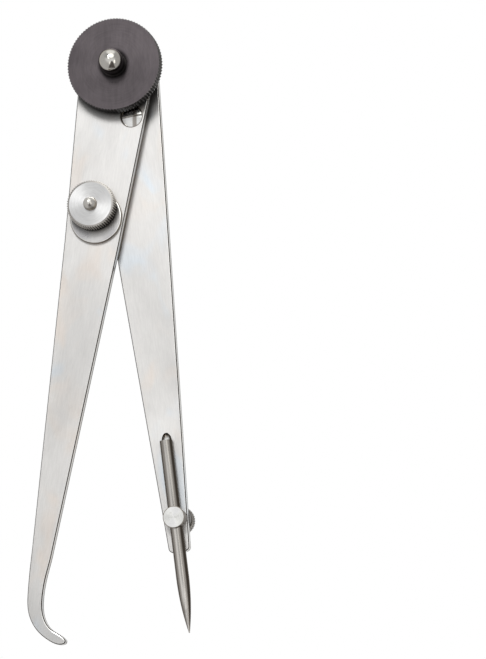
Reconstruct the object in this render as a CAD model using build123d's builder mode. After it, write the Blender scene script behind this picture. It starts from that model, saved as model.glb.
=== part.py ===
"""Lock-joint odd-leg caliper: one hooked leg, one leg that carries an adjustable scriber.

Frame, in millimetres: the origin is on the joint's axis, on the front face of the scriber leg.
+X is to the right of someone who looks at the front, +Y points away from them, and +Z is up.
Both legs hang down from the joint, and the knurled lock nut faces -Y.
"""

from build123d import *
import math
import os

os.makedirs("parts", exist_ok=True)

# Legs: flat tapered plates with softened edges, round at the joint.
PLATE = 2.4
EDGE_ROUND = 0.35
HEAD_RADIUS = 10.2
SCRIBER_LEG_ANGLE = 7.25  # degrees that the scriber leg leans to the right at rest
HOOK_LEG_ANGLE = -8.5  # degrees that the hooked leg leans to the left at rest
SCRIBER_LEG_LENGTH = 131.0
SCRIBER_LEG_TAPER = 0.0552  # half-width lost for each millimetre down the leg
SCRIBER_LEG_CORNER = 1.3
SCRIBER_LEG_TRIM = 0.48  # how far the inner side is set in below the bend
SCRIBER_LEG_BEND = 46.0

# Stack of layers at the joint, counted forward from the scriber leg's front face.
WASHER_THICK = 0.2
LEAF_THICK = 0.8
LAYER_GAP = 0.02
HOOK_BACK = WASHER_THICK + LEAF_THICK + LAYER_GAP
HOOK_FRONT = HOOK_BACK + PLATE
BUSHING_FRONT = HOOK_FRONT + 2 * LAYER_GAP
THRUST_THICK = 0.6
NUT_BACK = BUSHING_FRONT + THRUST_THICK
NUT_THICK = 3.5
NUT_FRONT = NUT_BACK + NUT_THICK
RUNNING = 0.05  # radial clearance of every part that turns or slides on another

# Pivot stud and what sits on it.
STUD_RADIUS = 3.5
STUD_FLANGE_RADIUS = 5.0
STUD_FLANGE_DEPTH = 1.6
STUD_END_RADIUS = 3.25
STUD_END_LENGTH = 3.3
KEY_RADIUS = 0.6
KEY_LENGTH = 1.4
BUSHING_RADIUS = 5.0
FRICTION_WASHER_RADIUS = 8.6
THRUST_RADIUS = 8.0
LOCK_NUT_RADIUS = 12.7
LOCK_NUT_TEETH = 96
LOCK_NUT_TOOTH = 0.35
LOCK_NUT_BEVEL = 0.3
SPRING_RECESS_RADIUS = 6.0
SPRING_RECESS_DEPTH = 0.5
SPRING_THICK = 0.25
WAVE_RECESS_RADIUS = 7.1
WAVE_RECESS_DEPTH = 0.35
WAVE_THICK = 0.3

# Adjusting leaf: a thin blade between the legs that the lock nut holds to the scriber leg.
LEAF_HUB_RADIUS = 9.9
LEAF_TIP_RADIUS = 0.9
LEAF_TIP = (-0.6, -50.8)
FINE_RANGE = 0.8  # degrees that the hooked leg can be trimmed each way
FINE_TURN = 15.0  # degrees that the adjusting nut turns for it

# Stop screw, seen in the round window of the hooked leg (across, down in that leg's frame).
WINDOW = (5.95, 12.75)
WINDOW_RADIUS = 2.9
WINDOW_DEPTH = 1.3
SCREW_HEAD_RADIUS = 2.8
SCREW_HEAD_EDGE = 0.85
SCREW_DOME = 0.35
SCREW_SLOT = 0.55
SCREW_SLOT_TILT = 8.0  # degrees
SCREW_SHANK_RADIUS = 1.45
SCREW_DOG_RADIUS = 1.0
SCREW_DOG_END = 0.35

# Adjusting nut, its stud and the crank disc under it (across, down in the hooked leg's frame).
ADJUST_AXIS = (-0.2, 38.45)
DISC_OFFSET = (1.0, 2.75)
DISC_RADIUS = 7.05
DISC_THICK = 1.0
DISC_ROUND = 0.4
BOSS_RADIUS = 2.6
BOSS_HEIGHT = 2.5
CRANK_OFFSET = (5.7, 2.2)
CRANK_PIN_RADIUS = 0.8
CRANK_PIN_GRIP = 0.7
CRANK_PIN_END = 0.3
CRANK_CLEARANCE = 0.09
ADJUST_STUD_RADIUS = 1.8
ADJUST_FOOT_RADIUS = 2.2
ADJUST_FOOT_DEPTH = 1.7
ADJUST_TIP_HEIGHT = 2.6
DISC_WASHER_RADIUS = 3.2
DISC_RECESS_RADIUS = 3.4
DISC_RECESS_DEPTH = 0.3
DISC_WASHER_THICK = 0.25
ADJUST_NUT_RADIUS = 6.5
ADJUST_NUT_TEETH = 60
ADJUST_NUT_TOOTH = 0.4
ADJUST_NUT_BEVEL = 0.35
ADJUST_COLLAR_RADIUS = 4.8
ADJUST_COLLAR = 0.4
ADJUST_BAND = 3.4

# Scriber and its clamp (distances down the scriber leg from the joint's axis).
SCRIBER_RADIUS = 1.7
SCRIBER_OFFSET = 0.5  # how far right of the leg's middle line the scriber lies
SCRIBER_TOP = 101.6
SCRIBER_TIP = 152.4
SCRIBER_TAPER = 15.0
SCRIBER_BLUNT = 0.12
SCRIBER_HEIGHT = 1.03  # height of the scriber's axis above the leg's front face
GROOVE_CLEARANCE = 0.02
GROOVE_NOSE = 2.8
CLAMP_DOWN = 122.2
CLAMP_HEAD_RADIUS = 2.9
CLAMP_HEAD_HEIGHT = 3.4
CLAMP_HEAD_BEVEL = 0.2
CLAMP_SEAT_GAP = 0.05
CLAMP_HOLE_CLEARANCE = 0.04
CLAMP_SHANK_RADIUS = 2.2
CLAMP_SHANK_END = 2.2
CLAMP_THREAD_RADIUS = 1.5
CLAMP_THREAD_LENGTH = 3.0
CLAMP_NUT_RADIUS = 3.8
CLAMP_NUT_TEETH = 36
CLAMP_NUT_TOOTH = 0.22
CLAMP_NUT_BEVEL = 0.3
CLAMP_COLLAR_RADIUS = 3.4
CLAMP_COLLAR = 1.1
CLAMP_BAND = 3.0

# The hooked leg's outline in its own frame: (across, down) from the joint's axis.
HOOK_OUTER_KINK = (-6.97, 48.0)
HOOK_INNER_KINK = (7.8, 49.5)
HOOK_FOOT = [
    (2.75, 131.5),
    (2.15, 137.5),
    (2.1, 142.5),
    (3.05, 147.2),
    (5.5, 150.4),
    (9.57, 152.38),
    (10.03, 152.88),
    (9.96, 153.6),
    (9.31, 154.03),
    (5.4, 153.45),
    (1.46, 150.85),
    (-0.95, 147.2),
    (-2.05, 141.5),
    (-2.55, 134.0),
    (-2.75, 129.0),
]


def layer(forward, across=0.0, down=0.0, lean=0.0):
    """Plane that faces the front, so far forward, at a point of a leg that leans by an angle."""
    turned = math.radians(lean)
    x = across * math.cos(turned) + down * math.sin(turned)
    z = across * math.sin(turned) - down * math.cos(turned)
    sideways = (math.cos(turned), 0, math.sin(turned))
    return Plane(origin=(x, -forward, z), x_dir=sideways, z_dir=(0, -1, 0))


def tangent_points(radius, target):
    """Point of the head circle where a straight side towards the target touches it."""
    distance = math.hypot(target[0], target[1])
    toward = math.atan2(target[1], target[0])
    swing = math.copysign(math.acos(radius / distance), target[0])
    return (radius * math.cos(toward + swing), radius * math.sin(toward + swing))


def knurl_points(radius, teeth, tooth):
    """Corners of a straight knurl, seen end on."""
    corners = []
    for step in range(2 * teeth):
        angle = math.pi * step / teeth
        reach = radius - tooth * (step % 2)
        corners.append((reach * math.cos(angle), reach * math.sin(angle)))
    return corners


def ring(label, inner, outer, back, front):
    """A flat washer or sleeve on the joint's axis."""
    with BuildPart() as washer:
        with BuildSketch(layer(back)):
            Circle(outer)
            Circle(inner, mode=Mode.SUBTRACT)
        extrude(amount=front - back)
    washer.part.label = label
    return washer.part


def at_adjuster(piece):
    """Moves a piece made on the joint's axis to the adjusting nut's axis."""
    spot = layer(0, ADJUST_AXIS[0], ADJUST_AXIS[1], HOOK_LEG_ANGLE).origin
    return Pos(spot.X, 0, spot.Z) * Rot(0, -HOOK_LEG_ANGLE, 0) * piece


# Scriber leg: tapered plate with a groove for the scriber and a blind seat for the pivot stud.
leg_plane = layer(-PLATE, lean=SCRIBER_LEG_ANGLE)
scriber_leg_half_end = HEAD_RADIUS - SCRIBER_LEG_TAPER * SCRIBER_LEG_LENGTH
right_corner = (scriber_leg_half_end, -SCRIBER_LEG_LENGTH)
left_corner = (SCRIBER_LEG_TRIM - scriber_leg_half_end, -SCRIBER_LEG_LENGTH)
left_bend = (
    SCRIBER_LEG_TRIM + SCRIBER_LEG_TAPER * SCRIBER_LEG_BEND - HEAD_RADIUS,
    -SCRIBER_LEG_BEND,
)
with BuildPart() as rear_leg:
    with BuildSketch(leg_plane) as outline:
        with BuildLine():
            head = ThreePointArc(
                tangent_points(HEAD_RADIUS, left_bend),
                (0, HEAD_RADIUS),
                tangent_points(HEAD_RADIUS, right_corner),
            )
            Polyline(head @ 1, right_corner, left_corner, left_bend, head @ 0)
        make_face()
        fillet(outline.vertices().group_by(Axis.Y)[0], SCRIBER_LEG_CORNER)
    extrude(amount=PLATE)
    faces_of_plate = rear_leg.edges().group_by(Axis.Y)
    fillet(faces_of_plate[0] + faces_of_plate[-1], EDGE_ROUND)
    with BuildSketch(layer(0)):
        Circle(STUD_FLANGE_RADIUS)
        with Locations((0, STUD_FLANGE_RADIUS)):
            Circle(KEY_RADIUS)
    extrude(amount=-STUD_FLANGE_DEPTH, mode=Mode.SUBTRACT)
    with BuildSketch(layer(-PLATE, SCRIBER_OFFSET, CLAMP_DOWN, SCRIBER_LEG_ANGLE)):
        Circle(CLAMP_SHANK_RADIUS + RUNNING)
    extrude(amount=PLATE, mode=Mode.SUBTRACT)
    groove_start = layer(SCRIBER_HEIGHT, SCRIBER_OFFSET, SCRIBER_TOP, SCRIBER_LEG_ANGLE)
    down_leg = -groove_start.y_dir
    with BuildSketch(Plane(groove_start.origin, groove_start.x_dir, down_leg)):
        Circle(SCRIBER_RADIUS + GROOVE_CLEARANCE)
    extrude(amount=SCRIBER_LEG_LENGTH, mode=Mode.SUBTRACT)
    with BuildSketch(Plane(groove_start.origin, groove_start.x_dir, groove_start.z_dir)):
        with BuildLine():
            Line((0, -0.1), (0, GROOVE_NOSE))
            EllipticalCenterArc(
                (0, 0), SCRIBER_RADIUS + GROOVE_CLEARANCE, GROOVE_NOSE, arc_size=90
            )
            Polyline(
                (SCRIBER_RADIUS + GROOVE_CLEARANCE, 0),
                (SCRIBER_RADIUS + GROOVE_CLEARANCE, -0.1),
                (0, -0.1),
            )
        make_face()
    revolve(axis=Axis(groove_start.origin, groove_start.y_dir), mode=Mode.SUBTRACT)
rear_leg.part.label = "rear_leg"

# Pivot stud: flange sunk in the scriber leg, threaded body, plain domed free end.
with BuildPart() as pivot_stud:
    with BuildSketch(layer(-STUD_FLANGE_DEPTH)):
        Circle(STUD_FLANGE_RADIUS)
        with Locations((0, STUD_FLANGE_RADIUS)):
            Circle(KEY_RADIUS, mode=Mode.SUBTRACT)
    extrude(amount=STUD_FLANGE_DEPTH)
    with BuildSketch(layer(0)):
        Circle(STUD_RADIUS)
    extrude(amount=NUT_FRONT)
    with BuildSketch(layer(NUT_FRONT)):
        Circle(STUD_END_RADIUS)
    extrude(amount=STUD_END_LENGTH)
    with BuildSketch(Plane.XY):
        with BuildLine():
            dome_base = NUT_FRONT + STUD_END_LENGTH
            dome_top = dome_base + STUD_END_RADIUS
            Line((0, -dome_base), (STUD_END_RADIUS, -dome_base))
            CenterArc((0, -dome_base), STUD_END_RADIUS, 0, -90)
            Line((0, -dome_top), (0, -dome_base))
        make_face()
    revolve(axis=Axis.Y)
pivot_stud.part.label = "pivot_stud"

# Key pin: half in the stud's flange and half in the leg, so the stud can't turn.
with BuildPart() as stud_key:
    with BuildSketch(layer(-STUD_FLANGE_DEPTH)):
        with Locations((0, STUD_FLANGE_RADIUS)):
            Circle(KEY_RADIUS)
    extrude(amount=KEY_LENGTH)
stud_key.part.label = "stud_key"

# Washers and bushing of the joint.
stud_bore = STUD_RADIUS + RUNNING
friction_washer = ring("friction_washer", stud_bore, FRICTION_WASHER_RADIUS, 0, WASHER_THICK)
pivot_bushing = ring(
    "pivot_bushing", stud_bore, BUSHING_RADIUS, WASHER_THICK + LEAF_THICK, BUSHING_FRONT
)
wave_back = HOOK_FRONT - WAVE_RECESS_DEPTH
leg_wave_washer = ring(
    "leg_wave_washer",
    BUSHING_RADIUS + 2 * RUNNING,
    WAVE_RECESS_RADIUS - 2 * RUNNING,
    wave_back,
    wave_back + WAVE_THICK,
)
thrust_washer = ring("thrust_washer", stud_bore, THRUST_RADIUS, BUSHING_FRONT, NUT_BACK)

# Spring washer: a shallow cone in the recess under the lock nut.
spring_rise = SPRING_RECESS_DEPTH - SPRING_THICK - LAYER_GAP
spring_outer = SPRING_RECESS_RADIUS - 4 * RUNNING
with BuildPart() as spring_washer:
    with BuildSketch(Plane.XY):
        with BuildLine():
            Polyline(
                (stud_bore, -NUT_BACK - spring_rise),
                (spring_outer, -NUT_BACK),
                (spring_outer, -NUT_BACK - SPRING_THICK),
                (stud_bore, -NUT_BACK - spring_rise - SPRING_THICK),
                close=True,
            )
        make_face()
    revolve(axis=Axis.Y)
spring_washer.part.label = "spring_washer"

# Lock nut: wide black disc with a fine straight knurl.
with BuildPart() as lock_nut:
    with BuildSketch(layer(NUT_BACK)):
        with BuildLine():
            Polyline(*knurl_points(LOCK_NUT_RADIUS, LOCK_NUT_TEETH, LOCK_NUT_TOOTH), close=True)
        make_face()
        Circle(STUD_RADIUS + RUNNING, mode=Mode.SUBTRACT)
    extrude(amount=NUT_THICK)
    with BuildSketch(layer(NUT_BACK)):
        Circle(SPRING_RECESS_RADIUS)
    extrude(amount=SPRING_RECESS_DEPTH, mode=Mode.SUBTRACT)
    with BuildSketch(Plane.XY):
        with BuildLine():
            Polyline(
                (0, -NUT_BACK),
                (LOCK_NUT_RADIUS - LOCK_NUT_BEVEL, -NUT_BACK),
                (LOCK_NUT_RADIUS + RUNNING, -NUT_BACK - LOCK_NUT_BEVEL),
                (LOCK_NUT_RADIUS + RUNNING, -NUT_FRONT + LOCK_NUT_BEVEL),
                (LOCK_NUT_RADIUS - LOCK_NUT_BEVEL, -NUT_FRONT),
                (0, -NUT_FRONT),
                close=True,
            )
        make_face()
    revolve(axis=Axis.Y, mode=Mode.INTERSECT)
lock_nut.part.label = "lock_nut"


def turn_in_xz(point, degrees):
    """Turns an (x, z) point by the right-hand rule about +Y."""
    angle = math.radians(degrees)
    x, z = point
    return (
        x * math.cos(angle) + z * math.sin(angle),
        -x * math.sin(angle) + z * math.cos(angle),
    )


# Adjusting leaf: hub on the stud, blade down the wedge where the legs overlap.
adjust_spot = layer(0, ADJUST_AXIS[0], ADJUST_AXIS[1], HOOK_LEG_ANGLE).origin
crank_spot = layer(
    0, ADJUST_AXIS[0] + CRANK_OFFSET[0], ADJUST_AXIS[1] + CRANK_OFFSET[1], HOOK_LEG_ANGLE
).origin
crank_arm = (crank_spot.X - adjust_spot.X, crank_spot.Z - adjust_spot.Z)


def crank_pin_on_leaf(part_of_range):
    """Where the crank pin stands on the leaf when both adjusting joints are part way."""
    arm = turn_in_xz(crank_arm, -FINE_TURN * part_of_range)
    pin = (adjust_spot.X + arm[0], adjust_spot.Z + arm[1])
    return turn_in_xz(pin, FINE_RANGE * part_of_range)


def stop_screw_on_leaf(part_of_range):
    """Where the stop screw stands on the leaf when the hooked leg is trimmed part way."""
    spot = layer(0, WINDOW[0], WINDOW[1], HOOK_LEG_ANGLE).origin
    return turn_in_xz((spot.X, spot.Z), FINE_RANGE * part_of_range)


leaf_reach = math.hypot(*LEAF_TIP)
leaf_lean = math.atan2(LEAF_TIP[1], LEAF_TIP[0])
leaf_side = math.acos((LEAF_HUB_RADIUS - LEAF_TIP_RADIUS) / leaf_reach)


def leaf_tangent(centre, radius, side):
    """Tangent point of the blade's straight side on its hub or tip circle."""
    angle = leaf_lean + side * leaf_side
    return (centre[0] + radius * math.cos(angle), centre[1] + radius * math.sin(angle))


with BuildPart() as adjusting_leaf:
    with BuildSketch(layer(WASHER_THICK)):
        with BuildLine():
            hub = ThreePointArc(
                leaf_tangent((0, 0), LEAF_HUB_RADIUS, -1),
                (0, LEAF_HUB_RADIUS),
                leaf_tangent((0, 0), LEAF_HUB_RADIUS, 1),
            )
            right_side = Line(hub @ 1, leaf_tangent(LEAF_TIP, LEAF_TIP_RADIUS, 1))
            tip = ThreePointArc(
                right_side @ 1,
                (
                    LEAF_TIP[0] + LEAF_TIP_RADIUS * math.cos(leaf_lean),
                    LEAF_TIP[1] + LEAF_TIP_RADIUS * math.sin(leaf_lean),
                ),
                leaf_tangent(LEAF_TIP, LEAF_TIP_RADIUS, -1),
            )
            Line(tip @ 1, hub @ 0)
        make_face()
        Circle(STUD_RADIUS + RUNNING, mode=Mode.SUBTRACT)
    extrude(amount=LEAF_THICK)
    with BuildSketch(layer(WASHER_THICK)):
        with BuildLine():
            crank_path = ThreePointArc(*[crank_pin_on_leaf(part) for part in (-1.03, 0, 1.03)])
            stop_path = ThreePointArc(*[stop_screw_on_leaf(part) for part in (-1.1, 0, 1.1)])
        SlotArc(crank_path, 2 * (CRANK_PIN_RADIUS + CRANK_CLEARANCE))
        SlotArc(stop_path, 2 * (SCREW_DOG_RADIUS + RUNNING))
    extrude(amount=LEAF_THICK, mode=Mode.SUBTRACT)
adjusting_leaf.part.label = "adjusting_leaf"


# Hooked leg: tapered plate that ends in an inward foot.
def own(point):
    """Sketch coordinates of an (across, down) point."""
    return (point[0], -point[1])


hook_plane = layer(HOOK_BACK, lean=HOOK_LEG_ANGLE)
foot_points = [own(point) for point in HOOK_FOOT]
foot_start = Vector(*foot_points[0]) - Vector(*own(HOOK_INNER_KINK))
foot_end = Vector(*own(HOOK_OUTER_KINK)) - Vector(*foot_points[-1])
with BuildPart() as hook_leg:
    with BuildSketch(hook_plane):
        with BuildLine():
            head = ThreePointArc(
                tangent_points(HEAD_RADIUS, own(HOOK_OUTER_KINK)),
                (0, HEAD_RADIUS),
                tangent_points(HEAD_RADIUS, own(HOOK_INNER_KINK)),
            )
            Polyline(head @ 1, own(HOOK_INNER_KINK), foot_points[0])
            Spline(*foot_points, tangents=[foot_start.normalized(), foot_end.normalized()])
            Polyline(foot_points[-1], own(HOOK_OUTER_KINK), head @ 0)
        make_face()
    extrude(amount=PLATE)
    faces_of_plate = hook_leg.edges().group_by(Axis.Y)
    fillet(faces_of_plate[0] + faces_of_plate[-1], EDGE_ROUND)
    with BuildSketch(hook_plane):
        Circle(BUSHING_RADIUS + RUNNING)
        with Locations(own(WINDOW)):
            Circle(SCREW_SHANK_RADIUS + RUNNING)
        crank_angle = math.degrees(math.atan2(-CRANK_OFFSET[1], CRANK_OFFSET[0]))
        with BuildLine():
            crank_sweep = CenterArc(
                own(ADJUST_AXIS),
                math.hypot(*CRANK_OFFSET),
                crank_angle - FINE_TURN - 1,
                2 * FINE_TURN + 2,
            )
        SlotArc(crank_sweep, 2 * (CRANK_PIN_RADIUS + CRANK_CLEARANCE))
    extrude(amount=PLATE, mode=Mode.SUBTRACT)
    front_plane = layer(HOOK_FRONT, lean=HOOK_LEG_ANGLE)
    with BuildSketch(front_plane):
        Circle(WAVE_RECESS_RADIUS)
    extrude(amount=-WAVE_RECESS_DEPTH, mode=Mode.SUBTRACT)
    with BuildSketch(front_plane):
        with Locations(own(WINDOW)):
            Circle(WINDOW_RADIUS)
    extrude(amount=-WINDOW_DEPTH, mode=Mode.SUBTRACT)
    with BuildSketch(front_plane):
        with Locations(own(ADJUST_AXIS)):
            Circle(DISC_RECESS_RADIUS)
    extrude(amount=-DISC_RECESS_DEPTH, mode=Mode.SUBTRACT)
    with BuildSketch(front_plane):
        with Locations(own(ADJUST_AXIS)):
            Circle(ADJUST_FOOT_RADIUS)
    extrude(amount=-ADJUST_FOOT_DEPTH, mode=Mode.SUBTRACT)
hook_leg.part.label = "hook_leg"

# Stop screw: slotted, slightly domed head sunk in the window, dog point in the leaf's slot.
screw_seat = HOOK_FRONT - WINDOW_DEPTH
head_edge = screw_seat + SCREW_HEAD_EDGE
head_top = head_edge + SCREW_DOME
dome_radius = (SCREW_HEAD_RADIUS**2 + SCREW_DOME**2) / (2 * SCREW_DOME)
with BuildPart() as stop_screw:
    with BuildSketch(Plane.XY):
        with BuildLine():
            Polyline(
                (0, -SCREW_DOG_END),
                (SCREW_DOG_RADIUS, -SCREW_DOG_END),
                (SCREW_DOG_RADIUS, -HOOK_BACK),
                (SCREW_SHANK_RADIUS, -HOOK_BACK),
                (SCREW_SHANK_RADIUS, -screw_seat),
                (SCREW_HEAD_RADIUS, -screw_seat),
                (SCREW_HEAD_RADIUS, -head_edge),
            )
            RadiusArc((SCREW_HEAD_RADIUS, -head_edge), (0, -head_top), dome_radius)
            Line((0, -head_top), (0, -SCREW_DOG_END))
        make_face()
    revolve(axis=Axis.Y)
    with BuildSketch(layer(head_top)):
        Rectangle(3 * SCREW_HEAD_RADIUS, SCREW_SLOT, rotation=SCREW_SLOT_TILT)
    extrude(amount=-SCREW_SLOT - SCREW_DOME, mode=Mode.SUBTRACT)
window_spot = layer(0, WINDOW[0], WINDOW[1], HOOK_LEG_ANGLE).origin
stop_screw_part = Pos(window_spot.X, 0, window_spot.Z) * stop_screw.part
stop_screw_part.label = "stop_screw"

# Crank disc: round flange, off centre on the adjusting nut's axis, with a boss for the nut.
disc_back = HOOK_FRONT
disc_front = disc_back + DISC_THICK
with BuildPart() as crank_disc:
    with BuildSketch(layer(disc_back)):
        with Locations(own(DISC_OFFSET)):
            Circle(DISC_RADIUS)
    extrude(amount=DISC_THICK)
    fillet(crank_disc.edges().sort_by(Axis.Y)[0], DISC_ROUND)
    with BuildSketch(layer(disc_front)):
        Circle(BOSS_RADIUS)
    extrude(amount=BOSS_HEIGHT)
    with BuildSketch(layer(disc_back)):
        Circle(ADJUST_STUD_RADIUS + RUNNING)
    extrude(amount=DISC_THICK + BOSS_HEIGHT, mode=Mode.SUBTRACT)
    with BuildSketch(layer(disc_back)):
        with Locations(own(CRANK_OFFSET)):
            Circle(CRANK_PIN_RADIUS)
    extrude(amount=CRANK_PIN_GRIP, mode=Mode.SUBTRACT)
crank_disc_part = at_adjuster(crank_disc.part)
crank_disc_part.label = "crank_disc"

# Drive pin: pressed into the disc, it reaches through the hooked leg into the leaf's slot.
with BuildPart() as drive_pin:
    with BuildSketch(layer(CRANK_PIN_END)):
        with Locations(own(CRANK_OFFSET)):
            Circle(CRANK_PIN_RADIUS)
    extrude(amount=disc_back + CRANK_PIN_GRIP - CRANK_PIN_END)
drive_pin_part = at_adjuster(drive_pin.part)
drive_pin_part.label = "drive_pin"

# Washer that keeps the disc from turning by itself, in a recess of the hooked leg.
disc_washer_back = HOOK_FRONT - DISC_RECESS_DEPTH
disc_wave_washer = at_adjuster(
    ring(
        "disc_wave_washer",
        ADJUST_STUD_RADIUS + 2 * RUNNING,
        DISC_WASHER_RADIUS,
        disc_washer_back,
        disc_washer_back + DISC_WASHER_THICK,
    )
)
disc_wave_washer.label = "disc_wave_washer"

# Adjusting stud: foot pressed in the hooked leg, bullet-shaped free end.
foot_back = HOOK_FRONT - ADJUST_FOOT_DEPTH
nut_face = disc_front + ADJUST_COLLAR + ADJUST_BAND
with BuildPart() as adjusting_stud:
    with BuildSketch(Plane.XY):
        with BuildLine():
            Polyline(
                (0, -foot_back),
                (ADJUST_FOOT_RADIUS, -foot_back),
                (ADJUST_FOOT_RADIUS, -disc_washer_back),
                (ADJUST_STUD_RADIUS, -disc_washer_back),
                (ADJUST_STUD_RADIUS, -nut_face),
            )
            EllipticalCenterArc(
                (0, -nut_face), ADJUST_STUD_RADIUS, ADJUST_TIP_HEIGHT, arc_size=-90
            )
            Line((0, -nut_face - ADJUST_TIP_HEIGHT), (0, -foot_back))
        make_face()
    revolve(axis=Axis.Y)
adjusting_stud_part = at_adjuster(adjusting_stud.part)
adjusting_stud_part.label = "adjusting_stud"

# Adjusting nut: knurled band above a plain collar, pressed on the disc's boss.
band_back = disc_front + ADJUST_COLLAR
with BuildPart() as adjusting_nut:
    with BuildSketch(layer(band_back)):
        with BuildLine():
            Polyline(
                *knurl_points(ADJUST_NUT_RADIUS, ADJUST_NUT_TEETH, ADJUST_NUT_TOOTH), close=True
            )
        make_face()
    extrude(amount=ADJUST_BAND)
    with BuildSketch(Plane.XY):
        with BuildLine():
            Polyline(
                (0, -band_back),
                (ADJUST_NUT_RADIUS - ADJUST_NUT_BEVEL, -band_back),
                (ADJUST_NUT_RADIUS + RUNNING, -band_back - ADJUST_NUT_BEVEL),
                (ADJUST_NUT_RADIUS + RUNNING, -nut_face + ADJUST_NUT_BEVEL),
                (ADJUST_NUT_RADIUS - 2 * ADJUST_NUT_BEVEL, -nut_face),
                (0, -nut_face),
                close=True,
            )
        make_face()
    revolve(axis=Axis.Y, mode=Mode.INTERSECT)
    with BuildSketch(layer(disc_front)):
        Circle(ADJUST_COLLAR_RADIUS)
    extrude(amount=ADJUST_COLLAR)
    with BuildSketch(layer(disc_front)):
        Circle(BOSS_RADIUS)
    extrude(amount=BOSS_HEIGHT, mode=Mode.SUBTRACT)
    with BuildSketch(layer(disc_front)):
        Circle(ADJUST_STUD_RADIUS + RUNNING)
    extrude(amount=ADJUST_COLLAR + ADJUST_BAND, mode=Mode.SUBTRACT)
adjusting_nut_part = at_adjuster(adjusting_nut.part)
adjusting_nut_part.label = "adjusting_nut"

# Scriber: round rod with a long ogive point, in the groove of its leg.
rod_end = SCRIBER_TIP - SCRIBER_TAPER
rod_plane = layer(SCRIBER_HEIGHT, SCRIBER_OFFSET, 0, SCRIBER_LEG_ANGLE)
with BuildPart() as scriber:
    with BuildSketch(rod_plane):
        with BuildLine():
            rod_side = Polyline(
                (0, -SCRIBER_TOP), (SCRIBER_RADIUS, -SCRIBER_TOP), (SCRIBER_RADIUS, -rod_end)
            )
            ogive = TangentArc(
                (SCRIBER_RADIUS, -rod_end), (SCRIBER_BLUNT, -SCRIBER_TIP), tangent=(0, -1)
            )
            Polyline(ogive @ 1, (0, -SCRIBER_TIP), (0, -SCRIBER_TOP))
        make_face()
    revolve(axis=Axis(rod_plane.origin, rod_plane.y_dir))
scriber.part.label = "scriber"

# Clamp stud: round head with a cross hole for the scriber, shank through the leg, thread behind.
with BuildPart() as clamp_stud:
    with BuildSketch(layer(CLAMP_SEAT_GAP, SCRIBER_OFFSET, CLAMP_DOWN, SCRIBER_LEG_ANGLE)):
        Circle(CLAMP_HEAD_RADIUS)
    extrude(amount=CLAMP_HEAD_HEIGHT - CLAMP_SEAT_GAP)
    chamfer(clamp_stud.edges().sort_by(Axis.Y)[0], CLAMP_HEAD_BEVEL)
    with BuildSketch(layer(-CLAMP_SHANK_END, SCRIBER_OFFSET, CLAMP_DOWN, SCRIBER_LEG_ANGLE)):
        Circle(CLAMP_SHANK_RADIUS)
    extrude(amount=CLAMP_SHANK_END + CLAMP_SEAT_GAP)
    thread_end = PLATE + CLAMP_THREAD_LENGTH
    with BuildSketch(layer(-thread_end, SCRIBER_OFFSET, CLAMP_DOWN, SCRIBER_LEG_ANGLE)):
        Circle(CLAMP_THREAD_RADIUS)
    extrude(amount=thread_end)
    with BuildSketch(Plane(rod_plane.origin, rod_plane.x_dir, -rod_plane.y_dir)):
        Circle(SCRIBER_RADIUS + CLAMP_HOLE_CLEARANCE)
    extrude(amount=SCRIBER_TIP, mode=Mode.SUBTRACT)
clamp_stud.part.label = "clamp_stud"

# Clamp nut: plain collar against the leg's back, then a knurled band with a closed face.
band_front = -PLATE - CLAMP_COLLAR
face_back = band_front - CLAMP_BAND
with BuildPart() as clamp_nut:
    with BuildSketch(layer(face_back)):
        with BuildLine():
            Polyline(
                *knurl_points(CLAMP_NUT_RADIUS, CLAMP_NUT_TEETH, CLAMP_NUT_TOOTH), close=True
            )
        make_face()
    extrude(amount=CLAMP_BAND)
    with BuildSketch(Plane.XY):
        with BuildLine():
            Polyline(
                (0, -band_front),
                (CLAMP_NUT_RADIUS - CLAMP_NUT_TOOTH, -band_front),
                (CLAMP_NUT_RADIUS + RUNNING, -band_front + CLAMP_NUT_TOOTH),
                (CLAMP_NUT_RADIUS + RUNNING, -face_back - CLAMP_NUT_BEVEL),
                (CLAMP_NUT_RADIUS - CLAMP_NUT_BEVEL, -face_back),
                (0, -face_back),
                close=True,
            )
        make_face()
    revolve(axis=Axis.Y, mode=Mode.INTERSECT)
    with BuildSketch(layer(band_front)):
        Circle(CLAMP_COLLAR_RADIUS)
    extrude(amount=CLAMP_COLLAR)
    with BuildSketch(layer(-PLATE)):
        Circle(CLAMP_THREAD_RADIUS + RUNNING)
    extrude(amount=-CLAMP_THREAD_LENGTH - RUNNING, mode=Mode.SUBTRACT)
clamp_spot = layer(0, SCRIBER_OFFSET, CLAMP_DOWN, SCRIBER_LEG_ANGLE).origin
clamp_nut_part = Pos(clamp_spot.X, 0, clamp_spot.Z) * clamp_nut.part
clamp_nut_part.label = "clamp_nut"

pieces = [
    rear_leg.part,
    pivot_stud.part,
    stud_key.part,
    friction_washer,
    pivot_bushing,
    leg_wave_washer,
    thrust_washer,
    spring_washer.part,
    lock_nut.part,
    adjusting_leaf.part,
    hook_leg.part,
    stop_screw_part,
    crank_disc_part,
    drive_pin_part,
    disc_wave_washer,
    adjusting_stud_part,
    adjusting_nut_part,
    scriber.part,
    clamp_stud.part,
    clamp_nut_part,
]
for piece in pieces:
    export_step(piece, f"parts/{piece.label}.step")
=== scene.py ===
"""Looks of the lock-joint odd-leg caliper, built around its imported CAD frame.

Metres, same frame as the CAD: the joint's axis is the Y axis, -Y is the front, +Z is up.
"""

import bpy
import math
from mathutils import Matrix, Vector


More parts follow.
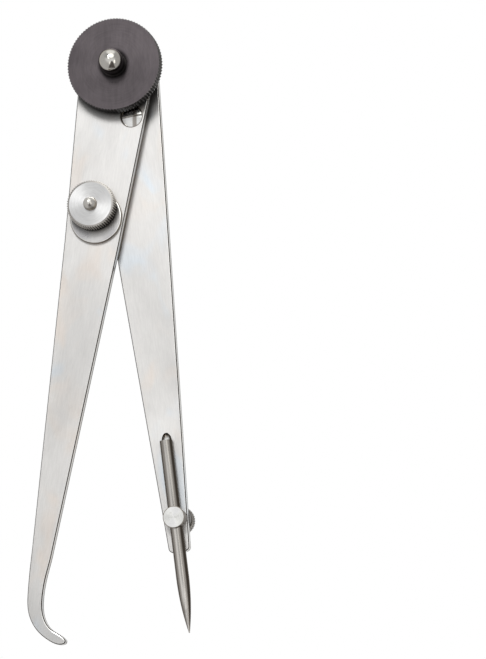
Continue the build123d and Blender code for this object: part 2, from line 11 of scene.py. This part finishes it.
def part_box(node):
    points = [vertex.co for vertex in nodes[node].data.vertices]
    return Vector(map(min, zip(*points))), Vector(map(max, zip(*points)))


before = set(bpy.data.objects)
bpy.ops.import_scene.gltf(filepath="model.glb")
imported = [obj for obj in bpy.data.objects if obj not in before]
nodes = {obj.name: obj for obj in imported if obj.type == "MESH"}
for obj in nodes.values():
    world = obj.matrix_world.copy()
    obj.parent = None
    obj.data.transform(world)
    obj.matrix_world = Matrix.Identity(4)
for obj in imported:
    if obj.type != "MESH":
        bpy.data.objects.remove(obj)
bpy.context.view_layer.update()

MM = 0.001
HOOK_LEAN = math.radians(8.5)
SCRIBER_LEAN = math.radians(7.25)
PIVOT_AXIS = (0.0, 0.0)
LOCK_NUT_FACE_RADIUS = 12.38 * MM
DISC_RADIUS = 7.05 * MM
ADJUST_TEETH = (6.2 * MM, 6.4 * MM)
CLAMP_TEETH = (3.6 * MM, 3.78 * MM)
FLOOR_HALF = 20.0
FLOOR_HEIGHT = -0.36
LIGHT_AIM = Vector((0.0, 0.0, -0.07))

# Depth of the scratches and tool marks that bump shading shows.
FINE_MARK = 0.005 * MM
TOOL_MARK = 0.008 * MM
GRIND_MARK = 0.01 * MM

# Camera: right of the front and below it (degrees), looking at a point beside the legs.
CAMERA_AZIMUTH = 11.09
CAMERA_ELEVATION = -10.455
CAMERA_DISTANCE = 0.8455
CAMERA_TARGET = Vector((0.03364, 0.0, -0.0717))
CAMERA_LENS = 176.07
CAMERA_SENSOR = 36.0


# ---------------------------------------------------------------- node helpers


class Graph:
    """Builds a node tree with short calls: each call adds one node and returns its output."""

    def __init__(self, tree):
        self.tree = tree
        self.tree.nodes.clear()

    def add(self, kind, settings=None, **inputs):
        node = self.tree.nodes.new(kind)
        for key, value in (settings or {}).items():
            setattr(node, key, value)
        for key, value in inputs.items():
            self.plug(node, key, value)
        return node

    def plug(self, node, key, value):
        name = key.replace("_", " ")
        socket = None
        if key.startswith("i") and key[1:].isdigit():
            socket = node.inputs[int(key[1:])]
        else:
            socket = next(s for s in node.inputs if s.name == name)
        if isinstance(value, bpy.types.NodeSocket):
            self.tree.links.new(value, socket)
        elif isinstance(value, tuple) and len(value) == 3 and socket.type == "RGBA":
            socket.default_value = (*value, 1.0)
        else:
            socket.default_value = value

    def math(self, operation, a, b=0.0):
        return self.add("ShaderNodeMath", {"operation": operation}, i0=a, i1=b).outputs[0]

    def times(self, a, b):
        return self.math("MULTIPLY", a, b)

    def vector(self, operation, a, b=(0.0, 0.0, 0.0)):
        node = self.add("ShaderNodeVectorMath", {"operation": operation}, i0=a, i1=b)
        return node.outputs["Value" if operation in ("DOT_PRODUCT", "LENGTH") else "Vector"]

    def span(self, value, low, high, to_low=0.0, to_high=1.0, smooth=True):
        kind = "SMOOTHSTEP" if smooth else "LINEAR"
        node = self.add("ShaderNodeMapRange", {"interpolation_type": kind})
        for key, item in zip(range(5), (value, low, high, to_low, to_high)):
            self.plug(node, f"i{key}", item)
        return node.outputs[0]

    def mix(self, factor, a, b, blend="MIX"):
        """Colour a at factor 0 and b at factor 1."""
        node = self.add("ShaderNodeMix", {"data_type": "RGBA", "blend_type": blend})
        self.plug(node, "i0", factor)
        self.plug(node, "i6", a)
        self.plug(node, "i7", b)
        return node.outputs[2]

    def shade(self, color, tone):
        """The colour multiplied by a plain number."""
        even = self.add("ShaderNodeCombineXYZ", i0=tone, i1=tone, i2=tone).outputs[0]
        return self.mix(1.0, color, even, "MULTIPLY")

    def mix_value(self, factor, a, b):
        node = self.add("ShaderNodeMix", {"data_type": "FLOAT"}, i0=factor, i2=a, i3=b)
        return node.outputs[0]

    def part(self, vector, index):
        """One coordinate (0, 1 or 2) of a vector."""
        return self.add("ShaderNodeSeparateXYZ", i0=vector).outputs[index]

    def bump(self, height, strength, distance=GRIND_MARK):
        node = self.add("ShaderNodeBump", Strength=strength, Distance=distance, Height=height)
        return node.outputs[0]

    def noise(self, vector, scale, detail=3.0, roughness=0.55, distortion=0.0):
        node = self.add(
            "ShaderNodeTexNoise",
            Vector=vector,
            Scale=scale,
            Detail=detail,
            Roughness=roughness,
            Distortion=distortion,
        )
        return node.outputs[0]

    def place(self, vector, turn=(0, 0, 0), scale=(1, 1, 1), move=(0, 0, 0)):
        node = self.add(
            "ShaderNodeMapping", Vector=vector, Location=move, Rotation=turn, Scale=scale
        )
        return node.outputs[0]


def new_material(name):
    material = bpy.data.materials.new(name)
    material.use_nodes = True
    return material, Graph(material.node_tree)


def finish_material(graph, color, roughness, metallic=1.0, normal=None, extra=None):
    shader = graph.add(
        "ShaderNodeBsdfPrincipled", Base_Color=color, Roughness=roughness, Metallic=metallic
    )
    if normal is not None:
        graph.plug(shader, "Normal", normal)
    for key, value in (extra or {}).items():
        graph.plug(shader, key, value)
    output = graph.add("ShaderNodeOutputMaterial")
    graph.tree.links.new(shader.outputs[0], output.inputs[0])


def object_place(graph):
    return graph.add("ShaderNodeTexCoord").outputs["Object"]


def facing_parts(graph):
    """How much a point's surface faces along the joint's axis: 1 on flat faces, 0 on walls."""
    normal = graph.add("ShaderNodeNewGeometry").outputs["Normal"]
    return graph.math("ABSOLUTE", graph.part(normal, 1))


def edge_reflection_band(graph, facing):
    """Painted dark reflection: 1 on the steep part of a softened edge, 0 on the flat face and on
    the straight wall.
    """
    outer = graph.span(facing, 0.08, 0.25)
    inner = graph.span(facing, 0.95, 0.86)
    return graph.times(outer, inner)


def highlight_band(graph, facing):
    """Painted highlight: 1 on the shallow part of a softened edge, next to the flat face."""
    outer = graph.span(facing, 0.93, 0.965)
    inner = graph.span(facing, 0.9985, 0.99)
    return graph.times(outer, inner)


def rear_reflection_line(graph, facing, back):
    """Painted dark reflection: 1 on the part of the walls next to the back face (back is its Y).
    """
    near = graph.span(graph.part(object_place(graph), 1), back - 1.1 * MM, back - 0.8 * MM)
    return graph.times(near, graph.span(facing, 0.2, 0.1))


def corner_shade(graph, reach, darkest):
    """Painted shade: a tone that falls to darkest where another piece stands over the surface
    within reach.
    """
    node = graph.add("ShaderNodeAmbientOcclusion", {"samples": 16}, Distance=reach)
    return graph.span(node.outputs["AO"], 0.5, 0.95, darkest, 1.0)


def polar(graph, centre):
    """(distance from an axis along Y, angle about it) of the shaded point."""
    spot = graph.vector("SUBTRACT", object_place(graph), (centre[0], 0.0, centre[1]))
    parts = graph.add("ShaderNodeSeparateXYZ", i0=spot)
    flat = graph.add("ShaderNodeCombineXYZ", i0=parts.outputs[0], i1=0.0, i2=parts.outputs[2])
    radius = graph.vector("LENGTH", flat.outputs[0])
    angle = graph.math("ARCTAN2", parts.outputs[2], parts.outputs[0])
    return radius, angle


def turning_line(graph, radius, angle, stretch):
    """Noise coordinates that draw fine rings about the axis."""
    around = graph.times(angle, stretch)
    return graph.add("ShaderNodeCombineXYZ", i0=radius, i1=0.0, i2=around).outputs[0]


# ---------------------------------------------------------------- materials


def ground_leg_steel(name, lean, seed, back, painted_foot_light, window=None):
    """Satin ground plate: faint blue and straw tints, grinding marks, painted edge highlight and
    dark reflection.

    lean turns the marks along the leg, back is the Y of its back face, and fade is (Z where
    the painted light and shade toward the foot start, Z where they are full, that tone). window
    is the axis of the round window that gets a painted dark reflection ring around it.
    """
    material, g = new_material(name)
    spot = object_place(g)
    own = g.place(spot, turn=(0, lean, 0), move=(seed, seed * 0.7, seed * 1.3))
    facing = facing_parts(g)
    flat = g.span(facing, 0.985, 0.9995)

    patches = g.noise(g.place(own, scale=(70, 70, 38)), 1.0, 3.0, 0.55, 0.4)
    tints = g.noise(g.place(own, scale=(95, 95, 60), move=(4, 0, 2)), 1.0, 2.0, 0.5, 0.6)
    steel = (0.755, 0.744, 0.733)
    color = g.mix(g.span(tints, 0.54, 0.76), steel, (0.72, 0.775, 0.83))
    color = g.mix(g.span(tints, 0.46, 0.26), color, (0.79, 0.735, 0.69))
    color = g.shade(color, g.span(patches, 0.25, 0.75, 0.9, 1.06))

    grain = g.noise(g.place(own, scale=(2600, 2600, 260)), 1.0, 3.0, 0.7, 0.8)
    speck = g.noise(g.place(own, scale=(1500, 1500, 900)), 1.0, 2.0, 0.6)
    color = g.shade(color, g.span(grain, 0.3, 0.7, 0.955, 1.03))
    # Painted light and shade: the tone changes toward the foot, lighter on one leg, darker on the
    # other.
    color = g.shade(color, g.span(g.part(spot, 2), painted_foot_light[0], painted_foot_light[1], 1.0, painted_foot_light[2]))
    # Painted shade round the lock nut, where the nut stands over the leg.
    nut_shade_zone = g.span(polar(g, PIVOT_AXIS)[0], 19 * MM, 14.5 * MM)
    color = g.mix(nut_shade_zone, color, g.shade(color, corner_shade(g, 4.5 * MM, 0.15)))
    # Painted highlight along the shallow part of the softened edges.
    color = g.mix(highlight_band(g, facing), color, (1.0, 1.0, 0.99))
    # Painted dark reflection: a brown line on the steep edges, on the walls by the back face and
    # round the window.
    line = g.math("MAXIMUM", edge_reflection_band(g, facing), rear_reflection_line(g, facing, back))
    if window:
        radius = polar(g, window)[0]
        # Painted dark reflection ring round the window's chamfer.
        ring = g.times(
            g.span(radius, 2.82 * MM, 2.9 * MM), g.span(radius, 3.17 * MM, 3.08 * MM)
        )
        line = g.math("MAXIMUM", line, g.times(ring, 0.85))
    color = g.mix(g.times(line, 0.95), color, (0.065, 0.051, 0.036))

    rough = g.math(
        "ADD", g.span(patches, 0.3, 0.7, 0.42, 0.47), g.span(speck, 0.3, 0.7, -0.02, 0.02)
    )
    rough = g.mix_value(flat, 0.2, rough)
    height = g.math("ADD", grain, g.times(speck, 0.6))
    finish_material(g, color, rough, 0.95, g.bump(height, 0.35))
    return material


def black_oxide(name, centre, face_radius):
    """Blackened turned steel: soft circular brushing, a lighter rim on its chamfer, painted shade
    in the knurl roots, a painted shadow ring round its bore.
    """
    material, g = new_material(name)
    radius, angle = polar(g, centre)
    rings = g.noise(turning_line(g, radius, angle, 0.0006), 2600, 3.0, 0.7)
    spot = object_place(g)
    brush = g.noise(g.place(spot, turn=(0, 0.25, 0), scale=(1500, 1500, 260)), 1.0, 3.0, 0.65, 0.5)
    cloud = g.noise(spot, 120, 2.0, 0.5)
    tone = g.math(
        "ADD", g.span(rings, 0.3, 0.7, 0.93, 1.05), g.span(brush, 0.3, 0.7, -0.06, 0.07)
    )
    tone = g.math("ADD", tone, g.span(cloud, 0.3, 0.7, -0.05, 0.05))
    facing = facing_parts(g)
    rim = g.times(g.span(facing, 0.97, 0.75), g.span(facing, 0.4, 0.6))
    rim = g.times(rim, g.span(radius, 8 * MM, 9 * MM))
    crest = g.span(radius, face_radius, face_radius + 0.3 * MM)
    color = g.shade((0.108, 0.095, 0.101), tone)
    color = g.mix(g.times(rim, 0.6), color, (0.3, 0.28, 0.29))
    wall = g.span(facing, 0.5, 0.2)
    # Painted shade: the knurl's roots are near black, its crests a little lighter.
    color = g.mix(wall, color, g.mix(crest, (0.006, 0.005, 0.005), (0.034, 0.031, 0.031)))
    # Painted shadow of the stud: a dark ring round the bore.
    color = g.shade(color, g.span(radius, 3.4 * MM, 4.7 * MM, 0.1, 1.0))
    finish_material(g, color, g.span(cloud, 0.3, 0.7, 0.3, 0.36), 1.0, g.bump(brush, 0.3))
    return material


def turned_steel(name, centre, base, rough, anisotropy, sheen, wall, teeth=(0.0, MM)):
    """Lathe-turned steel: concentric tool marks, a soft painted sheen across, painted dark
    reflection on the chamfer, painted shade in the knurl's roots.

    sheen is (direction in degrees, amount) of the painted sheen, wall the colour of the round
    side, where the dark ones are painted shade, and teeth the (root, crest) radii of the knurl.
    """
    material, g = new_material(name)
    radius, angle = polar(g, centre)
    line = turning_line(g, radius, angle, 0.0004)
    rings = g.noise(line, 5200, 3.0, 0.75)
    slow = g.noise(line, 900, 2.0, 0.5)
    facing = facing_parts(g)
    tone = g.math(
        "ADD", g.span(rings, 0.3, 0.7, 0.92, 1.05), g.span(slow, 0.3, 0.7, -0.04, 0.04)
    )
    # Painted sheen: a bow-tie of light across the face, turned to the sheen's direction.
    twice = g.times(g.math("SUBTRACT", angle, math.radians(sheen[0])), 2.0)
    tone = g.math("ADD", tone, g.times(g.math("COSINE", twice), sheen[1]))
    color = g.shade(base, tone)
    walls = g.span(facing, 0.6, 0.3)
    # Painted shade in the knurl's roots.
    wall_color = g.mix(g.span(radius, *teeth), (0.06, 0.05, 0.035), wall)
    # Painted dark reflection on the chamfer.
    chamfer_shade = g.times(g.span(facing, 0.97, 0.85), g.span(facing, 0.3, 0.6))
    color = g.mix(chamfer_shade, color, (0.5, 0.46, 0.41))
    color = g.mix(walls, color, wall_color)
    roughness = g.mix_value(walls, g.span(rings, 0.3, 0.7, rough - 0.03, rough + 0.03), 0.3)
    tangent = g.add("ShaderNodeTangent", {"direction_type": "RADIAL", "axis": "Y"}).outputs[0]
    amount = g.times(g.math("SUBTRACT", 1.0, walls), anisotropy)
    brushed = {"Anisotropic": amount, "Tangent": tangent}
    finish_material(g, color, roughness, 1.0, g.bump(rings, 0.25, TOOL_MARK), brushed)
    return material


def ground_disc(name, centre, radius):
    """Ground flange: satin face, painted shadow under the nut, a painted highlight then a brown
    painted reflection line at its edge.
    """
    material, g = new_material(name)
    facing = facing_parts(g)
    spot = object_place(g)
    cloud = g.noise(spot, 260, 2.0, 0.5)
    grain = g.noise(g.place(spot, scale=(2400, 2400, 300)), 1.0, 3.0, 0.7, 0.6)
    color = g.mix(g.span(cloud, 0.35, 0.65), (0.66, 0.65, 0.66), (0.76, 0.75, 0.74))
    color = g.shade(color, g.span(grain, 0.3, 0.7, 0.96, 1.03))
    # Painted shadow where the adjusting nut stands over the face.
    color = g.shade(color, corner_shade(g, 3 * MM, 0.16))
    # Painted highlight: a bright lip round the edge.
    rim = g.span(polar(g, centre)[0], radius - 0.4 * MM, radius - 0.3 * MM)
    color = g.mix(g.math("MAXIMUM", highlight_band(g, facing), rim), color, (1.0, 0.99, 0.97))
    # Painted dark reflection: a brown line on the steep part of the edge.
    color = g.mix(g.times(g.span(facing, 0.88, 0.7), 0.9), color, (0.19, 0.15, 0.11))
    finish_material(g, color, g.span(cloud, 0.3, 0.7, 0.26, 0.32), 1.0, g.bump(grain, 0.3))
    return material


def polished_steel(name, base, rough, side, shade_plane_y=None):
    """Bright polished steel with painted shade down its sides; painted shade on the shoulder
    behind the plane y = collar.
    """
    material, g = new_material(name)
    spot = object_place(g)
    haze = g.noise(spot, 700, 3.0, 0.6)
    marks = g.noise(g.place(spot, scale=(4000, 4000, 1200)), 1.0, 2.0, 0.7)
    facing = facing_parts(g)
    color = g.mix(g.span(haze, 0.3, 0.7), base, tuple(0.93 * c for c in base))
    # Painted shade down the round sides.
    color = g.mix(g.span(facing, 0.5, 0.22), color, side)
    # Painted shade on the flat shoulder behind that plane.
    if shade_plane_y:
        y = g.part(spot, 1)
        ring = g.times(
            g.span(y, shade_plane_y - 0.4 * MM, shade_plane_y - 0.2 * MM), g.span(y, -4 * MM, -5 * MM)
        )
        color = g.mix(ring, color, (0.05, 0.045, 0.045))
    bump = g.bump(marks, 0.15, FINE_MARK)
    finish_material(g, color, g.span(haze, 0.3, 0.7, rough, rough + 0.06), 1.0, bump)
    return material


def screw_steel(name, centre):
    """Polished slotted head: painted grey reflection bands upright across a bright dome, painted
    shade on its walls.
    """
    material, g = new_material(name)
    spot = object_place(g)
    x = g.math("SUBTRACT", g.part(spot, 0), centre[0])
    # Painted reflection: grey bands upright across the head, a paler grey one on its left.
    dark = g.times(g.span(x, 0.0, 0.6 * MM), g.span(x, 1.6 * MM, 1.2 * MM))
    side = g.span(x, -0.9 * MM, -2.6 * MM)
    color = g.mix(dark, (0.97, 0.97, 0.96), (0.42, 0.39, 0.36))
    color = g.mix(g.times(side, 0.75), color, (0.5, 0.48, 0.47))
    haze = g.noise(spot, 900, 3.0, 0.6)
    facing = facing_parts(g)
    # Painted shade on the walls and in the slot.
    color = g.mix(g.span(facing, 0.7, 0.4), color, (0.12, 0.1, 0.08))
    finish_material(g, color, g.span(haze, 0.3, 0.7, 0.12, 0.2))
    return material


def hardened_steel(name, lean):
    """Ground and hardened rod: bright centre with streaks along it, painted dark brown reflection
    down its sides.
    """
    material, g = new_material(name)
    own = g.place(object_place(g), turn=(0, lean, 0))
    streaks = g.noise(g.place(own, scale=(3600, 3600, 40)), 1.0, 4.0, 0.7, 0.3)
    wide = g.noise(g.place(own, scale=(1300, 1300, 22), move=(3, 1, 0)), 1.0, 2.0, 0.5)
    tone = g.math(
        "ADD", g.span(streaks, 0.3, 0.7, 0.74, 1.2), g.span(wide, 0.35, 0.65, -0.2, 0.2)
    )
    color = g.shade((0.78, 0.75, 0.71), tone)
    facing = facing_parts(g)
    # Painted dark reflection down the round sides, brown at their edge and darker below.
    color = g.mix(g.times(g.span(facing, 0.985, 0.9), 0.5), color, (0.3, 0.262, 0.225))
    color = g.mix(g.span(facing, 0.84, 0.64), color, (0.1, 0.084, 0.068))
    finish_material(g, color, g.span(wide, 0.3, 0.7, 0.18, 0.26), 1.0, g.bump(streaks, 0.3))
    return material


def plain_steel(name, base, rough):
    """Inner or thin steel: mottled tone and roughness."""
    material, g = new_material(name)
    spot = object_place(g)
    mottle = g.noise(spot, 600, 3.0, 0.6)
    scratch = g.noise(g.place(spot, scale=(3000, 3000, 400)), 1.0, 2.0, 0.6)
    color = g.mix(g.span(mottle, 0.3, 0.7), base, tuple(0.8 * c for c in base))
    roughness = g.span(mottle, 0.3, 0.7, rough - 0.04, rough + 0.04)
    finish_material(g, color, roughness, 1.0, g.bump(scratch, 0.2))
    return material


def node_centre(name):
    low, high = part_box(name)
    return ((low[0] + high[0]) / 2, (low[2] + high[2]) / 2)


def paint(name, material):
    mesh = nodes[name].data
    mesh.materials.clear()
    mesh.materials.append(material)


adjust_axis = node_centre("adjusting_nut")
clamp_axis = node_centre("clamp_nut")
screw_axis = node_centre("stop_screw")

looks = {
    "hook_leg": ground_leg_steel(
        "ground_steel_front_leg",
        lean=-HOOK_LEAN,
        seed=0.3,
        back=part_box("hook_leg")[1][1],
        painted_foot_light=(-136 * MM, -147 * MM, 0.88),
        window=screw_axis,
    ),
    "rear_leg": ground_leg_steel(
        "ground_steel_back_leg",
        lean=SCRIBER_LEAN,
        seed=1.7,
        back=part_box("rear_leg")[1][1],
        painted_foot_light=(-80 * MM, -105 * MM, 1.17),
    ),
    "lock_nut": black_oxide("black_oxide", PIVOT_AXIS, LOCK_NUT_FACE_RADIUS),
    "pivot_stud": polished_steel(
        "polished_stud",
        base=(0.8, 0.78, 0.735),
        rough=0.1,
        side=(0.04, 0.034, 0.028),
        shade_plane_y=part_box("lock_nut")[0][1],
    ),
    "stop_screw": screw_steel("polished_screw", screw_axis),
    "crank_disc": ground_disc("ground_disc", node_centre("crank_disc"), DISC_RADIUS),
    "adjusting_nut": turned_steel(
        "turned_adjusting_nut",
        adjust_axis,
        base=(0.76, 0.76, 0.76),
        rough=0.34,
        anisotropy=0.5,
        sheen=(60.0, 0.08),
        wall=(0.95, 0.91, 0.84),
        teeth=ADJUST_TEETH,
    ),
    "adjusting_stud": polished_steel(
        "polished_adjusting_stud",
        base=(0.92, 0.9, 0.86),
        rough=0.3,
        side=(0.42, 0.37, 0.31),
    ),
    "scriber": hardened_steel("hardened_scriber", SCRIBER_LEAN),
    "clamp_stud": turned_steel(
        "turned_clamp_head",
        clamp_axis,
        base=(0.95, 0.95, 0.93),
        rough=0.4,
        anisotropy=0.3,
        sheen=(80.0, 0.2),
        # Dark round side: painted shade.
        wall=(0.14, 0.12, 0.1),
    ),
    "clamp_nut": turned_steel(
        "turned_clamp_nut",
        clamp_axis,
        base=(0.42, 0.41, 0.4),
        rough=0.28,
        anisotropy=0.4,
        sheen=(80.0, 0.12),
        # Dark round side: painted shade.
        wall=(0.2, 0.185, 0.17),
        teeth=CLAMP_TEETH,
    ),
    # The leaf is coloured dark brown.
    "adjusting_leaf": plain_steel("dark_brown_leaf", (0.19, 0.15, 0.11), 0.4),
}
washer = plain_steel("washer_steel", (0.55, 0.53, 0.5), 0.35)
spring = plain_steel("spring_steel", (0.36, 0.3, 0.25), 0.35)
for name in ("stud_key", "friction_washer", "pivot_bushing", "thrust_washer"):
    looks[name] = washer
for name in ("leg_wave_washer", "spring_washer", "disc_wave_washer"):
    looks[name] = spring
looks["drive_pin"] = hardened_steel("hardened_pin", 0.0)

for name, material in looks.items():
    paint(name, material)

# ---------------------------------------------------------------- floor, light, camera


def direction(azimuth, elevation):
    """Unit vector: azimuth 0 is the front (-Y), positive to the right, in degrees."""
    a, e = math.radians(azimuth), math.radians(elevation)
    return Vector((math.sin(a) * math.cos(e), -math.cos(a) * math.cos(e), math.sin(e)))


def camera_axes():
    """Unit vectors from the tool to the camera, to the picture's right, and up the picture."""
    turn = math.radians(CAMERA_AZIMUTH)
    back = direction(CAMERA_AZIMUTH, CAMERA_ELEVATION)
    right = Vector((math.cos(turn), math.sin(turn), 0.0))
    return back, right, back.cross(right)


def studio_world():
    """White to the camera and to matt surfaces; gloss reflects a window, a stand and grey sides.

    The zones are laid out as they show on a polished ball seen from the camera: across and
    up run from -1 to 1 over that ball.
    """
    world = bpy.data.worlds.new("studio")
    bpy.context.scene.world = world
    world.use_nodes = True
    g = Graph(world.node_tree)
    ray = g.add("ShaderNodeTexCoord").outputs["Generated"]
    eye, right, above = camera_axes()
    half = g.vector("NORMALIZE", g.vector("ADD", ray, tuple(eye)))
    across = g.vector("DOT_PRODUCT", half, tuple(right))
    up = g.vector("DOT_PRODUCT", half, tuple(above))

    def squared(value, centre, size):
        away = g.math("DIVIDE", g.math("SUBTRACT", value, centre), size)
        return g.math("POWER", g.math("ABSOLUTE", away), 2.0)

    def oval(x, y, width, height):
        apart = g.math("ADD", squared(across, x, width), squared(up, y, height))
        return g.span(apart, 1.3, 0.35)

    # Base tone, window, its bright top, hot spot and two small glints.
    color = g.mix(g.span(across, -0.8, 0.8), (0.46, 0.455, 0.45), (0.38, 0.37, 0.36))
    window = g.mix(g.span(up, 0.05, 0.3), (0.76, 0.76, 0.758), (0.34, 0.34, 0.34))
    color = g.mix(oval(-0.02, 0.3, 0.46, 0.56), color, window)
    color = g.mix(oval(0.0, 0.68, 0.36, 0.2), color, (0.9, 0.9, 0.88))
    color = g.mix(oval(0.05, 0.38, 0.24, 0.2), color, (1.5, 1.49, 1.44))
    color = g.mix(oval(0.33, -0.1, 0.07, 0.16), color, (1.5, 1.48, 1.4))
    color = g.mix(oval(-0.03, -0.22, 0.1, 0.16), color, (1.0, 0.99, 0.96))

    # Dark stand: a triangle that widens downward.
    width = g.span(up, -0.05, -0.6, 0.03, 0.26, smooth=False)
    aside = g.math("ABSOLUTE", g.math("SUBTRACT", across, 0.12))
    stand = g.span(g.math("SUBTRACT", aside, width), 0.05, 0.0)
    stand = g.times(stand, g.span(up, -0.03, -0.12))
    stand = g.times(stand, g.span(up, -0.64, -0.6))
    color = g.mix(g.times(stand, 0.92), color, (0.06, 0.05, 0.045))

    # Grey sides, then a pale far side.
    reach = g.math("SQRT", g.math("ADD", squared(across, 0.0, 1.0), squared(up, 0.0, 1.0)))
    color = g.mix(g.span(reach, 0.8, 0.87), color, (0.5, 0.48, 0.45))
    color = g.mix(g.span(reach, 0.955, 0.972), color, (0.86, 0.86, 0.85))

    path = g.add("ShaderNodeLightPath")
    plain = g.math("MAXIMUM", path.outputs["Is Camera Ray"], path.outputs["Is Diffuse Ray"])
    color = g.mix(plain, color, (1.0, 1.0, 1.0))
    back = g.add("ShaderNodeBackground", Color=color, Strength=1.0)
    output = g.add("ShaderNodeOutputWorld")
    g.tree.links.new(back.outputs[0], output.inputs[0])


def soft_light(name, toward, distance, size, power):
    light = bpy.data.lights.new(name, "AREA")
    light.shape = "DISK"
    light.size = size
    light.energy = power
    holder = bpy.data.objects.new(name, light)
    holder.location = LIGHT_AIM + toward * distance
    holder.rotation_euler = toward.to_track_quat("Z", "Y").to_euler()
    bpy.context.scene.collection.objects.link(holder)


def pale_floor():
    mesh = bpy.data.meshes.new("floor")
    turns = ((-1, -1), (1, -1), (1, 1), (-1, 1))
    corners = [(x * FLOOR_HALF, y * FLOOR_HALF, FLOOR_HEIGHT) for x, y in turns]
    mesh.from_pydata(corners, [], [(0, 1, 2, 3)])
    floor = bpy.data.objects.new("floor", mesh)
    bpy.context.scene.collection.objects.link(floor)
    material, g = new_material("pale_floor")
    mottle = g.noise(object_place(g), 40, 3.0, 0.6)
    color = g.mix(g.span(mottle, 0.3, 0.7), (0.9, 0.9, 0.89), (0.87, 0.87, 0.86))
    finish_material(g, color, 0.7, 0.0)
    mesh.materials.append(material)
    floor.visible_glossy = False


def photo_camera():
    back, right, up = camera_axes()
    data = bpy.data.cameras.new("camera")
    data.lens = CAMERA_LENS
    data.sensor_width = CAMERA_SENSOR
    data.sensor_fit = "AUTO"
    data.clip_start = 0.01
    camera = bpy.data.objects.new("camera", data)
    turn = Matrix((right, up, back)).transposed().to_4x4()
    camera.matrix_world = Matrix.Translation(CAMERA_TARGET + back * CAMERA_DISTANCE) @ turn
    bpy.context.scene.collection.objects.link(camera)
    bpy.context.scene.camera = camera


studio_world()
soft_light("key", direction(-5, 34), distance=1.2, size=0.3, power=3.3)
pale_floor()
photo_camera()
bpy.context.scene.view_settings.view_transform = "Standard"
